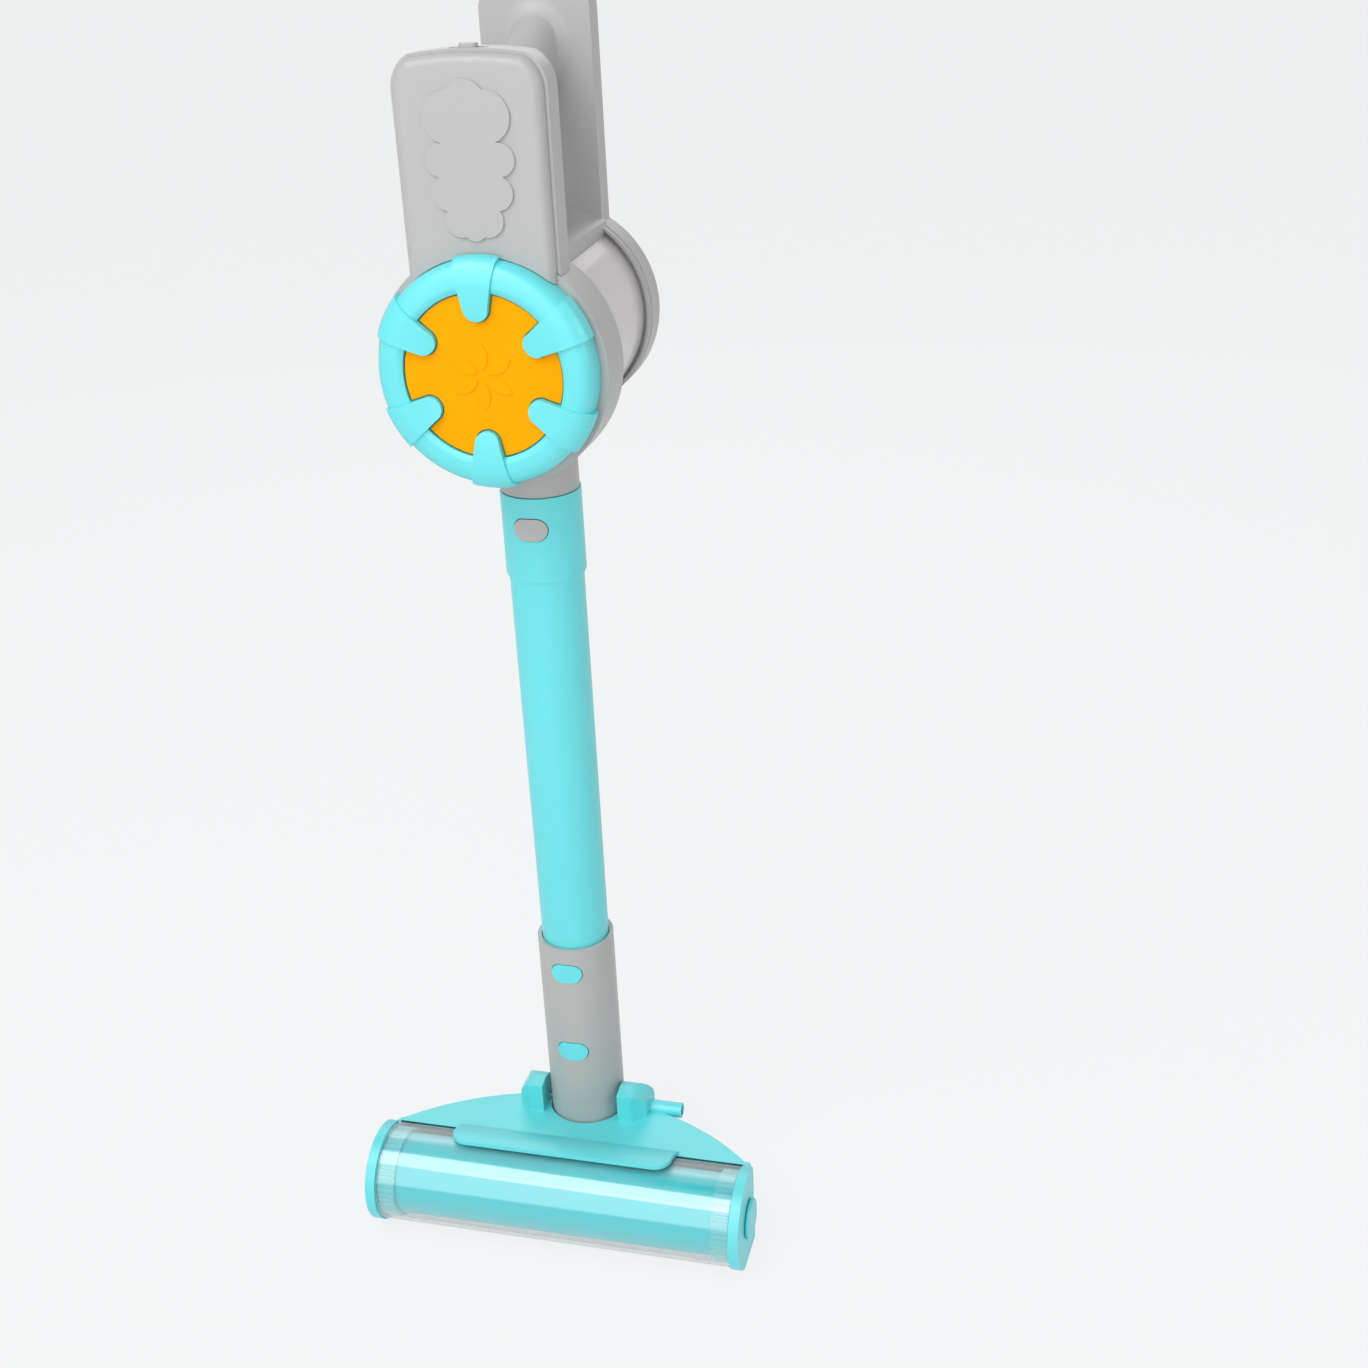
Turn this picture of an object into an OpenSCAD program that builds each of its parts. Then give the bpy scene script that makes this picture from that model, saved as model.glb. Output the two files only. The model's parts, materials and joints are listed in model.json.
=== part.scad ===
// Toy stick vacuum cleaner: hand unit with a drum, wand tube, coupling sleeve and floor head with a roller
// The origin is on the floor, in the middle of the footprint. X runs to the right, Y to the rear and Z up.

/* [Floor head] */
// Outside radius of the clear roller tube
roller_r = 24; // [21:0.5:28]
// Wall of the clear roller tube
roller_wall = 1.6; // [1:0.1:2.4]
// Length of the clear roller tube
roller_len = 181.5; // [160:1:230]
// Distance of the roller axis in front of the wand axis
roller_ahead = 51.3; // [51:0.1:60]
// Gap between the clear tube and the drum inside it
drum_inset = 2.4; // [1.5:0.1:4]
// Width of each ribbed end ring
plug_w = 9; // [6:0.5:14]
// Ribs round each end ring
plug_ribs = 44; // [24:1:60]
// Height of the ribs
rib_h = 0.8; // [0.3:0.1:1.2]
// Radius of the roller axles
axle_r = 5.5; // [4:0.25:6.5]
// Radius of the axle knobs
knob_r = 10; // [8:0.5:14]
// Thickness of the axle knobs
knob_t = 2; // [1.5:0.5:5]
// Thickness of the end walls
end_wall = 5; // [4:0.5:8]
// Height of the half-moon shell above the floor
shell_top = 43; // [41:0.5:46]
// Wall left under each axle bore down to the parting line
axle_land = 1.5; // [1:0.1:3]
// Reach of the half-moon arc behind the wand axis
shell_rear = 3; // [2:0.5:10]
// Distance from the roller axis back to the ends of the arc
arc_back = 13; // [9:0.5:16]
// Width of the apron over the roller
apron_w = 114; // [90:1:140]
// Reach of the apron in front of the roller axis
apron_over = 3; // [0:0.5:8]
// Corner radius of the apron
apron_corner = 8; // [4:0.5:10]
// Distance of the sole plate from the floor
sole_clear = 3; // [2:0.5:5]
// Length of the rear skid across the head
skid_len = 60; // [40:1:90]
// Width of the rear skid
skid_w = 7; // [5:0.5:9]
// Distance of the skid inside the head's outline
skid_inset = 1.2; // [0.8:0.1:2]
// Distance of the outer screws from the middle of the head
screw_out = 60; // [52:1:66]
// Distance of the inner screws from the middle of the head
screw_in = 30; // [27:1:36]

/* [Tilt hinge] */
// Height of the tilt axis above the half-moon shell
hinge_up = 0; // [-1:0.5:4]
// Radius of the hinge pin
pin_r = 2.5; // [1.5:0.25:3]
// Height of the ears above the tilt axis
ear_up = 17; // [16.5:0.1:20]
// Thickness of the ears
ear_w = 14; // [12:0.5:18]
// Reach of the ears in front of the tilt axis
ear_ahead = 14.4; // [13.5:0.1:16]
// Reach of the ears behind the tilt axis
ear_behind = 7; // [6.5:0.5:10]
// Width of each ear's front face
face_w = 7.4; // [5:0.1:9]
// Height of each ear's front face above the tilt axis
face_up = 15.4; // [12:0.1:16]
// Height of the ears' outer edges above the tilt axis
ear_shoulder = 7; // [4:0.5:9]
// Radius of the pin boss beside the right ear
boss_r = 3.9; // [3.8:0.1:6]
// Length of the pin boss
boss_len = 16.5; // [8:0.5:22]

/* [Wand] */
// Outside radius of the coupling sleeve
sleeve_r = 18.9; // [17.5:0.1:21]
// Wall of the coupling sleeve
sleeve_wall = 2; // [1.5:0.1:2.5]
// Height of the sleeve rim above the tilt axis
sleeve_rise = 103.7; // [95:0.1:120]
// Reach of the sleeve below the tilt axis
sleeve_drop = 5; // [4:0.5:8]
// Height of the lower snap button above the tilt axis
lower_snap_up = 43.8; // [39:0.1:46]
// Distance of the upper snap button below the sleeve rim
upper_snap_down = 13.5; // [12:0.1:18]
// Length of tube inside the sleeve
tube_plug = 38; // [34:0.5:40]
// Visible length of tube between sleeve and socket
tube_show = 191.4; // [150:0.1:260]
// Radius of the tube under the socket
tube_top_r = 17; // [16.8:0.1:17.6]
// Wall of the wand tube
tube_wall = 1.8; // [1.4:0.1:2.2]
// Outside radius of the socket
socket_r = 18.25; // [17.9:0.05:20]
// Wall of the socket
socket_wall = 1.75; // [1.3:0.05:2]
// Length of the socket
socket_len = 41.3; // [40:0.1:50]
// Height of the sloped step under the socket
socket_step = 2.6; // [1:0.1:4]
// Depth of the stub in the socket
stub_depth = 35; // [30:0.5:36]
// Distance of the release button below the socket rim
release_down = 14.3; // [13:0.1:18]
// Width of the oval buttons
button_w = 15.6; // [12:0.1:16]
// Height of the oval buttons
button_h = 10.2; // [8:0.1:12]
// How far the buttons stand proud
button_proud = 0.6; // [0.3:0.1:1]

/* [Drum] */
// Height of the drum axis above the socket rim
drum_rise = 65.4; // [64:0.1:75]
// Outside radius of the drum housing
drum_r = 49.5; // [48.5:0.1:50.5]
// Distance of the front of the housing ahead of the wand axis
drum_ahead = 47; // [46:0.5:50]
// Depth of the housing ring
drum_depth = 22; // [19:0.5:22]
// Upward tilt of the dust cup towards the rear, in degrees
cup_tilt = 3.7; // [2.5:0.1:4]
// Front radius of the dust cup
cup_r = 44.4; // [43.5:0.1:44.8]
// Taper of the dust cup over its length
cup_draft = 2.8; // [1.4:0.1:3.2]
// Wall of the dust cup
cup_wall = 1.6; // [1.2:0.1:2.4]
// Width of the cradle under the cup
cradle_w = 52; // [44:1:58]
// Distance of the cradle inside the housing's outline
cradle_in = 1.5; // [1:0.1:2]
// Radius of the collar under the drum
collar_r = 17.6; // [17.4:0.1:19]
// Outside radius of the front ring
ring_r = 46.2; // [45.6:0.1:48]
// Radius of the orange disc
disc_r = 33.6; // [31:0.1:36]
// Distance of the disc face ahead of the wand axis
disc_ahead = 57.8; // [57.6:0.1:60]
// Radius at which each finger ends over the disc
finger_tip = 22.4; // [19:0.1:25]
// How far the fingers stand out past the ring's rim
finger_proud = 1.7; // [0.5:0.1:2]
// Half width of the fingers at their tips
finger_tip_w = 5.2; // [4:0.1:6]
// Half width of the fingers at the rim
finger_rim_w = 9.5; // [8:0.1:11]
// Petals of the rosette on the disc
petals = 6; // [5:1:9]

/* [Hand unit] */
// Width of the front slab
slab_w = 64; // [61:0.5:66]
// Height of the front slab above the drum axis
slab_rise = 124; // [122:0.5:130]
// Distance of the front slab's face ahead of the wand axis
slab_ahead = 51; // [50.5:0.1:51]
// Depth of the front cover
cover_depth = 5; // [4.5:0.1:5.5]
// Step between the edges of the front cover and of the shell behind it
cover_step = 1.4; // [0:0.1:1.5]
// Depth of the whole front slab
slab_depth = 17; // [17:0.1:18]
// Rise of the slabs' tops towards the middle
slab_crown = 3; // [1:0.5:5]
// Round of the slabs' outer edges
slab_round = 4; // [2:0.5:4.4]
// Corner radius of the slabs
slab_corner = 15; // [10:0.5:20]
// Width of the rear slab
rear_w = 49; // [46:0.5:54]
// Height of the rear slab above the drum axis
rear_rise = 146; // [143:0.5:155]
// Distance of the rear slab behind the wand axis
rear_behind = 38; // [38:0.5:44]
// Depth of the rear slab
rear_depth = 15.2; // [15.2:0.1:18]
// Depth of the rear cover
rear_cover_depth = 7; // [6:0.1:8]
// Radius of the round rear plate
plate_r = 45.3; // [45:0.1:47]
// Height of the round rear plate's centre above the drum axis
plate_up = 5.5; // [5:0.1:6]
// Width of the hand bar
bar_w = 20; // [18:0.5:24]
// Height of the hand bar
bar_h = 24; // [21:0.5:27]
// Distance of the hand bar's top from the front slab's top
bar_sink = 27; // [24:0.5:30]
// Rise of the hand bar towards the rear
bar_climb = 33; // [28:0.5:36]
// Width of the bridge over the drum
bridge_w = 52; // [44:1:56]
// Thickness of the bridge above the housing
bridge_t = 2; // [1.5:0.1:3]
// Height of the raised cloud panel
cloud_h = 1; // [0.4:0.1:1.2]
// Length of the slot of the slide switch
slot_len = 16.4; // [14:0.2:18]
// Length of the switch knob
switch_len = 7.6; // [6:0.2:8]
// Width of the switch knob
switch_w = 4; // [3:0.1:4.6]
// Height of the switch knob above the slab
switch_up = 1.7; // [1.5:0.1:4]
// Radius of the speaker
speaker_r = 13; // [9:0.5:14]
// Diameter of one battery cell
cell_d = 10.5; // [10.5:0.1:10.6]
// Length of one battery cell
cell_len = 44.5; // [44:0.1:45]

/* [Walls and clearances] */
// Wall of the moulded shells
wall = 2.2; // [1.8:0.1:2.4]
// Gap between pieces that move past each other
run_gap = 0.3; // [0.2:0.05:0.4]
// Gap between pieces that are fixed together
fit_gap = 0.2; // [0.1:0.05:0.25]
// Gap round shafts and pins
pin_gap = 0.06; // [0.04:0.01:0.1]
// Gap along parting lines
seam = 0.1; // [0.05:0.05:0.2]
// Gap between the roller and the head around it
bay_gap = 0.8; // [0.6:0.1:1.2]
// Gap between the sleeve and the head around it
neck_gap = 0.9; // [0.6:0.1:1.4]

/* [Hidden] */
$fn = 96;
turquoise = "#72E2E8";
grey = "#BCBDBB";
orange = "#FFAC00";
clear = "#D9E4E6";
steel = "#B8BCC0";
dark = "#3A3D40";
board_green = "#2F7D4F";
brass = "#C8A24A";
over = 1;

// Head places
half_len = roller_len / 2;
wall_in = half_len + run_gap;
half_head = wall_in + end_wall;
cap_r = roller_r + bay_gap;
bay_r = roller_r + bay_gap;
bay_wall = 1.8;
parting_z = roller_r - axle_r - axle_land;
hinge_z = shell_top + hinge_up;
arc_sag = shell_rear + roller_ahead - arc_back;
arc_r = (half_head * half_head + arc_sag * arc_sag) / (2 * arc_sag);
neck_r = sleeve_r + neck_gap;
ear_in = neck_r + fit_gap;
ear_out = ear_in + ear_w;
ear_crest = 8;
face_bevel = 6;
bearing_down = 8;
pin_left = -ear_out + 2;
pin_right = ear_out + boss_len - 2.5;
post_r = 3.6;
post_y = -(roller_ahead - bay_r - bay_wall - post_r - 0.4);
screw_r = 1.2;
screw_head_r = 2.7;
screw_head_h = 1.6;
screw_slot = 1.6;
head_posts = [for (x = [screw_out, screw_in]) for (s = [-1, 1]) [s * x, post_y]];
drum_inner_r = roller_r - roller_wall - drum_inset;
plug_r = roller_r - roller_wall - fit_gap;
drum_end = half_len - plug_w;

// Wand places
sleeve_bore = sleeve_r - sleeve_wall;
spigot_r = sleeve_bore - run_gap;
spigot_bore = spigot_r - wall;
sleeve_top = hinge_z + sleeve_rise;
lower_snap_z = hinge_z + lower_snap_up;
upper_snap_z = sleeve_top - upper_snap_down;
tube_bottom = sleeve_top - tube_plug;
tube_low_r = sleeve_bore - 2 * fit_gap;
tube_bore = tube_low_r - tube_wall;
spigot_top = tube_bottom - 2;
socket_bottom = sleeve_top + tube_show;
socket_top = socket_bottom + socket_len;
socket_bore = socket_r - socket_wall;
stub_r = socket_bore - fit_gap;
stub_wall = 2;
stub_bore = stub_r - stub_wall;
stub_bottom = socket_top - stub_depth;
release_z = socket_top - release_down;

// Hand unit places
drum_z = socket_top + drum_rise;
drum_back = drum_depth - drum_ahead;
cup_seat = drum_back - 9;
disc_t = 2;
disc_back = disc_ahead - disc_t;
ring_inner = disc_r + 0.6;
ring_back = disc_back - seam;
ring_crest = disc_ahead + 2.2;
finger_top = ring_crest + 1.2;
finger_r = ring_r + finger_proud;
slab_top = drum_z + slab_rise;
slab_low = drum_z + ring_r * 0.6;
slab_rear = slab_depth - slab_ahead;
cover_rear = cover_depth - slab_ahead;
rear_front = rear_behind;
rear_back = rear_behind + rear_depth;
rear_split = rear_back - rear_cover_depth;
rear_top = drum_z + rear_rise;
plate_z = drum_z + plate_up;
lip_r = plate_r - 0.3;
lip_t = 1.2;
lip_depth = 4;
bridge_r = drum_r + bridge_t;
bar_z = slab_top - bar_sink - bar_h / 2;
bar_angle = atan(bar_climb / (rear_front - slab_rear));
flange_len = switch_len + 6;
flange_w = switch_w + 2;
flange_t = 1.2;
switch_y = -(slab_ahead - cover_depth) + wall + switch_w / 2;
board_t = 1.6;
cell_y = rear_front + wall + fit_gap + cell_d / 2;
cell_low = drum_z + bridge_t + drum_r + 5;
cell_xs = [for (i = [-1 : 1]) i * (cell_d + 0.5)];
contact_t = 0.4;
door_w = 3 * cell_d + 8;
rib_t = 1.6;
door_screw_z = cell_low - contact_t - fit_gap - rib_t - post_r - 0.4;
door_low = door_screw_z - post_r - 2.4;
door_h = cell_low + cell_len + contact_t + fit_gap + rib_t + 3 - door_low;
door_ledge = 2;
front_posts = [for (s = [-1, 1]) for (z = [slab_top - 17, drum_z + drum_r + 12]) [s * (slab_w / 2 - 6.5), z]];
rear_half_posts = [[rear_w / 2 - 7, rear_top - 14], [plate_r - 12, plate_z - 12]];
rear_posts = [for (s = [-1, 1]) for (p = rear_half_posts) [s * p[0], p[1]]];
ring_post_out = ring_r - wall - 4;
ring_posts = [for (a = [30, 150, 270]) ring_post_out * [cos(a), sin(a)]];

// Whole footprint
front_reach = roller_ahead + cap_r;
tube_y = (front_reach - rear_back) / 2;

// Sets the wand axis at its place over the footprint
module on_wand() {
    translate([0, tube_y, 0]) children();
}

// Round bar along X
module x_rod(r, x0, x1, y, z) {
    translate([x0, y, z]) rotate([0, 90, 0]) cylinder(r = r, h = x1 - x0);
}

// Round bar along Y
module y_rod(r, y0, y1, z, x = 0) {
    translate([x, y0, z]) rotate([-90, 0, 0]) cylinder(r = r, h = y1 - y0);
}

// Outline in Y and Z drawn out along X
module x_prism(x0, x1) {
    translate([x0, 0, 0]) rotate([90, 0, 90]) linear_extrude(x1 - x0) children();
}

// Outline in X and Z drawn out along Y
module y_prism(y0, y1) {
    translate([0, y1, 0]) rotate([90, 0, 0]) linear_extrude(y1 - y0) children();
}

// Plain box from corner to corner
module block(low, high) {
    translate(low) cube(high - low);
}

// Oval with round ends, w wide and h high
module oval(w, h) {
    r = min(w, h) / 2;
    union() {
        translate([-(w / 2 - r), -(h / 2)]) square([w - 2 * r, h]);
        for (s = [-1, 1]) translate([s * (w / 2 - r), 0]) circle(r = r);
    }
}

// Upright oval bar section, w wide and h high
module upright_oval(w, h) {
    rotate(90) oval(h, w);
}

// Plan of the half-moon, drawn in by edge at the arc and by side at the ends
module half_moon(edge, side) {
    intersection() {
        translate([0, shell_rear - arc_r]) circle(r = arc_r - edge, $fn = 180);
        translate([side - half_head, -roller_ahead])
            square([2 * (half_head - side), roller_ahead + shell_rear]);
    }
}

// End wall of the roller bay, between two heights
module end_cheek(z0, z1) {
    intersection() {
        union() {
            translate([-roller_ahead, roller_r]) circle(r = cap_r);
            translate([-roller_ahead, z0]) square([arc_back, min(z1, shell_top) - z0]);
        }
        translate([-roller_ahead - cap_r - over, z0]) square([cap_r + over + arc_back, z1 - z0]);
    }
}

module end_cheeks(z0, z1) {
    x_prism(wall_in, half_head) end_cheek(z0, z1);
    x_prism(-half_head, -wall_in) end_cheek(z0, z1);
}

// Wall behind the roller and behind its ends, between two heights
module bay_back(z0, z1) {
    reach = wall_in + bay_wall;
    intersection() {
        x_rod(bay_r + bay_wall, -reach, reach, -roller_ahead, roller_r);
        block([-reach, -roller_ahead + bay_r / 2, z0], [reach, 0, z1]);
    }
}

module roller_bay() {
    x_rod(bay_r, -wall_in, wall_in, -roller_ahead, roller_r);
}

module apron() {
    intersection() {
        x_rod(bay_r + wall, -apron_w / 2, apron_w / 2, -roller_ahead, roller_r);
        translate([0, -roller_ahead - apron_over, shell_top - wall]) linear_extrude(roller_r) apron_plan();
    }
}

module apron_plan() {
    translate([-apron_w / 2, apron_corner]) square([apron_w, bay_r]);
    translate([apron_corner - apron_w / 2, 0]) square([apron_w - 2 * apron_corner, bay_r]);
    for (s = [-1, 1]) translate([s * (apron_w / 2 - apron_corner), apron_corner]) circle(r = apron_corner);
}

module ear() {
    intersection() {
        x_prism(ear_in, ear_out) polygon(ear_side());
        y_prism(-ear_ahead - over, ear_behind + over) polygon(ear_face());
        translate([0, 0, hinge_z - ear_up]) linear_extrude(2 * ear_up + over) polygon([
            [ear_in, -ear_ahead],
            [ear_in + face_w, -ear_ahead],
            [ear_out, face_bevel - ear_ahead],
            [ear_out, ear_behind],
            [ear_in, ear_behind]
        ]);
    }
}

// Outline of an ear seen from its side, with a steep front face and a round back
function ear_side() = [
    [-ear_ahead, hinge_z - wall],
    [-ear_ahead, hinge_z + face_up],
    for (t = [90 : -15 : 0]) [(ear_behind + ear_crest) * cos(t) - ear_crest, hinge_z + ear_up * sin(t)],
    [ear_behind - 1, hinge_z - bearing_down],
    [-9, hinge_z - bearing_down]
];

// Outline of an ear seen from the front, with a domed outer shoulder
function ear_face() = [
    [ear_in, hinge_z - bearing_down - over],
    [ear_out, hinge_z - bearing_down - over],
    for (t = [0 : 15 : 90]) [
        ear_out - ear_w * 2 / 3 * (0.6 * (1 - cos(t)) + 0.4 * t / 90),
        hinge_z + ear_shoulder + (ear_up - ear_shoulder) * (0.6 * sin(t) + 0.4 * t / 90)
    ],
    [ear_in, hinge_z + ear_up]
];

// Room in which the sleeve and its plug tilt
module neck_room() {
    translate([0, 0, hinge_z]) sphere(r = neck_r);
    translate([0, 0, hinge_z]) cylinder(r = neck_r, h = ear_up + 4);
    block([-neck_r, 0, hinge_z - neck_r], [neck_r, 40, hinge_z + ear_up + 4]);
}

module head_top() {
    color(turquoise) on_wand() difference() {
        union() {
            difference() {
                translate([0, 0, parting_z]) linear_extrude(shell_top - parting_z) half_moon(0, 0);
                translate([0, 0, parting_z - over]) linear_extrude(shell_top - wall - parting_z + over)
                    half_moon(wall, end_wall);
            }
            apron();
            bay_back(parting_z, shell_top - wall / 2);
            end_cheeks(parting_z, roller_r + cap_r + over);
            ear();
            mirror([1, 0, 0]) ear();
            x_rod(boss_r, ear_out - over, ear_out + boss_len, 0, hinge_z);
            for (p = head_posts) {
                translate([p[0], p[1], parting_z]) cylinder(r = post_r, h = shell_top - wall / 2 - parting_z);
            }
        }
        roller_bay();
        neck_room();
        x_rod(pin_r + pin_gap, pin_left, ear_out + boss_len + over, 0, hinge_z);
        x_rod(axle_r + pin_gap, wall_in - over, half_head + over, -roller_ahead, roller_r);
        x_rod(axle_r + pin_gap, -half_head - over, over - wall_in, -roller_ahead, roller_r);
        for (p = head_posts) {
            translate([p[0], p[1], parting_z - over]) cylinder(r = screw_r + pin_gap, h = 10 + over);
        }
    }
}

module sole_plate() {
    top = parting_z - seam;
    color(turquoise) on_wand() difference() {
        union() {
            difference() {
                translate([0, 0, sole_clear]) linear_extrude(top - sole_clear) half_moon(0, 0);
                translate([0, 0, sole_clear + wall]) linear_extrude(top) half_moon(wall, end_wall);
            }
            bay_back(sole_clear, top);
            end_cheeks(sole_clear / 2, top);
            intersection() {
                block(
                    [-skid_len / 2, shell_rear - wall - skid_w, 0],
                    [skid_len / 2, shell_rear, sole_clear + over]
                );
                linear_extrude(parting_z) half_moon(skid_inset, 0);
            }
            for (p = head_posts) translate([p[0], p[1], sole_clear]) cylinder(r = post_r, h = top - sole_clear);
        }
        roller_bay();
        for (p = head_posts) {
            translate([p[0], p[1], 0]) cylinder(r = screw_r + fit_gap, h = parting_z);
            translate([p[0], p[1], 0])
                cylinder(r = screw_head_r + fit_gap, h = sole_clear + screw_head_h + fit_gap);
        }
    }
}

// Pan head screw that points along +Z from the underside of its head
module screw(len) {
    difference() {
        translate([0, 0, -screw_head_h]) cylinder(r = screw_head_r, h = screw_head_h);
        for (a = [0, 90]) rotate(a) block(
            [-screw_slot, -screw_slot / 4, -screw_head_h - over],
            [screw_slot, screw_slot / 4, screw_slot / 2 - screw_head_h]
        );
    }
    cylinder(r = screw_r, h = len);
}

module head_screws() {
    color(steel) on_wand() for (p = head_posts) {
        translate([p[0], p[1], sole_clear + screw_head_h + fit_gap - seam / 2])
            screw(parting_z - sole_clear + 6);
    }
}

module pivot_pin() {
    color(steel) on_wand() x_rod(pin_r, pin_left + seam, pin_right, 0, hinge_z);
}

module roller_tube() {
    color(clear, 0.4) on_wand() difference() {
        x_rod(roller_r, -half_len, half_len, -roller_ahead, roller_r);
        x_rod(roller_r - roller_wall, -half_len - over, half_len + over, -roller_ahead, roller_r);
    }
}

module roller_drum() {
    color(turquoise) on_wand() difference() {
        x_rod(drum_inner_r, -drum_end, drum_end, -roller_ahead, roller_r);
        x_rod(drum_inner_r - wall, -drum_end - over, drum_end + over, -roller_ahead, roller_r);
    }
}

// Outline of a ribbed ring
module ribbed(r) {
    step = 360 / plug_ribs;
    shares = [0, 0.12, 0.5, 0.62];
    polygon([for (i = [0 : plug_ribs - 1]) for (k = [0 : 3])
        (k == 0 || k == 3 ? r - rib_h : r) * [cos((i + shares[k]) * step), sin((i + shares[k]) * step)]]);
}

// Ribbed end ring with a short plug into the drum, on the right side
module end_plug() {
    difference() {
        union() {
            translate([drum_end + seam, -roller_ahead, roller_r]) rotate([0, 90, 0])
                linear_extrude(plug_w - 2 * seam) ribbed(plug_r);
            x_rod(drum_inner_r - wall - fit_gap, drum_end - 7, drum_end + over, -roller_ahead, roller_r);
        }
        x_rod(axle_r + seam, drum_end - 8, half_len + over, -roller_ahead, roller_r);
    }
}

module left_plug() {
    color(turquoise) on_wand() mirror([1, 0, 0]) end_plug();
}

module right_plug() {
    color(turquoise) on_wand() end_plug();
}

// Axle knob on the right side
module axle_knob() {
    x_rod(knob_r, half_head + run_gap, half_head + run_gap + knob_t, -roller_ahead, roller_r);
    x_rod(axle_r, drum_end - 5, half_head + run_gap + over, -roller_ahead, roller_r);
}

module left_knob() {
    color(turquoise) on_wand() mirror([1, 0, 0]) axle_knob();
}

module right_knob() {
    color(turquoise) on_wand() axle_knob();
}

// Oval window through the front of a tube, at height z
module window(z, grow = run_gap) {
    translate([0, 0, z]) y_prism(-30, -5) oval(button_w + 2 * grow, button_h + 2 * grow);
}

// Oval button through an outer tube of radius outer, kept by a flange behind a wall of bore radius bore
module oval_button(z, outer, bore) {
    intersection() {
        union() {
            translate([0, 0, z]) y_prism(-30, -5) oval(button_w, button_h);
            intersection() {
                translate([0, 0, z]) y_prism(-30, -5) oval(button_w + 3, button_h + 3);
                cylinder(r = bore - run_gap, h = z + 20);
            }
        }
        difference() {
            translate([0, 0, z - 20]) cylinder(r = outer + button_proud, h = 40);
            translate([0, 0, z - 21]) cylinder(r = bore - 1.9, h = 42);
        }
    }
}

// Bent strip spring inside a bore: one leg behind the button, one on the far wall
module strip_spring(z, bore) {
    near = -(bore - 2.9);
    far = bore - 0.9;
    bend = (far - near) / 2;
    strip = 0.6;
    x_prism(-4, 4) translate([(near + far) / 2, z + 3]) difference() {
        union() {
            circle(r = bend);
            translate([-bend, -9]) square([2 * bend, 9]);
        }
        circle(r = bend - strip);
        translate([strip - bend, -bend - 10]) square([2 * (bend - strip), bend + 10]);
        translate([-bend - over, -bend - 10]) square([2 * bend + 2 * over, bend + 1]);
    }
}

module pivot_spigot() {
    color(turquoise) on_wand() difference() {
        union() {
            translate([0, 0, hinge_z]) sphere(r = spigot_r);
            translate([0, 0, hinge_z]) cylinder(r = spigot_r, h = spigot_top - hinge_z);
        }
        translate([0, 0, hinge_z + pin_r + 6]) cylinder(r = spigot_bore, h = spigot_top);
        x_rod(pin_r + pin_gap, -sleeve_r, sleeve_r, 0, hinge_z);
        window(lower_snap_z);
    }
}

module neck_sleeve() {
    slot = pin_r + 2 * run_gap;
    color(grey) on_wand() difference() {
        union() {
            translate([0, 0, hinge_z]) cylinder(r = sleeve_r, h = sleeve_rise);
            intersection() {
                translate([0, 0, hinge_z]) sphere(r = sleeve_r);
                translate([0, 0, hinge_z - sleeve_drop]) cylinder(r = sleeve_r + over, h = sleeve_drop + over);
            }
        }
        translate([0, 0, hinge_z - sleeve_drop - over])
            cylinder(r = sleeve_bore, h = sleeve_rise + sleeve_drop + 2 * over);
        x_rod(slot, -sleeve_r - over, sleeve_r + over, 0, hinge_z);
        block([-sleeve_r - over, -slot, hinge_z - sleeve_r], [sleeve_r + over, slot, hinge_z]);
        window(lower_snap_z);
        window(upper_snap_z);
    }
}

module lower_snap() {
    color(turquoise) on_wand() oval_button(lower_snap_z, sleeve_r, spigot_bore);
}

module lower_snap_spring() {
    color(steel) on_wand() strip_spring(lower_snap_z, spigot_bore);
}

module wand_tube() {
    color(turquoise) on_wand() difference() {
        rotate_extrude() polygon([
            [tube_bore, tube_bottom],
            [tube_low_r, tube_bottom],
            [tube_low_r, sleeve_top],
            [tube_top_r, socket_bottom],
            [socket_r, socket_bottom + socket_step],
            [socket_r, socket_top],
            [socket_bore, socket_top],
            [socket_bore, stub_bottom - seam],
            [tube_bore, stub_bottom - seam]
        ]);
        window(upper_snap_z);
        window(release_z);
    }
}

module upper_snap() {
    color(turquoise) on_wand() oval_button(upper_snap_z, sleeve_r, tube_bore);
}

module upper_snap_spring() {
    color(steel) on_wand() strip_spring(upper_snap_z, tube_bore);
}

module release_button() {
    color(grey) on_wand() oval_button(release_z, socket_r, stub_bore);
}

module release_spring() {
    color(steel) on_wand() strip_spring(release_z, stub_bore);
}

// Frame of the tilted dust cup: Z runs rearwards along its axis from the front of the housing
module along_cup() {
    translate([0, -drum_ahead, drum_z]) rotate([cup_tilt, 0, 0]) rotate([-90, 0, 0]) children();
}

// Body of the cup, drawn in by inset
module cup_body(inset) {
    cup_len = drum_ahead + rear_front + 8;
    along_cup() cylinder(r1 = cup_r - inset, r2 = cup_r - cup_draft - inset, h = cup_len);
}

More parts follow.
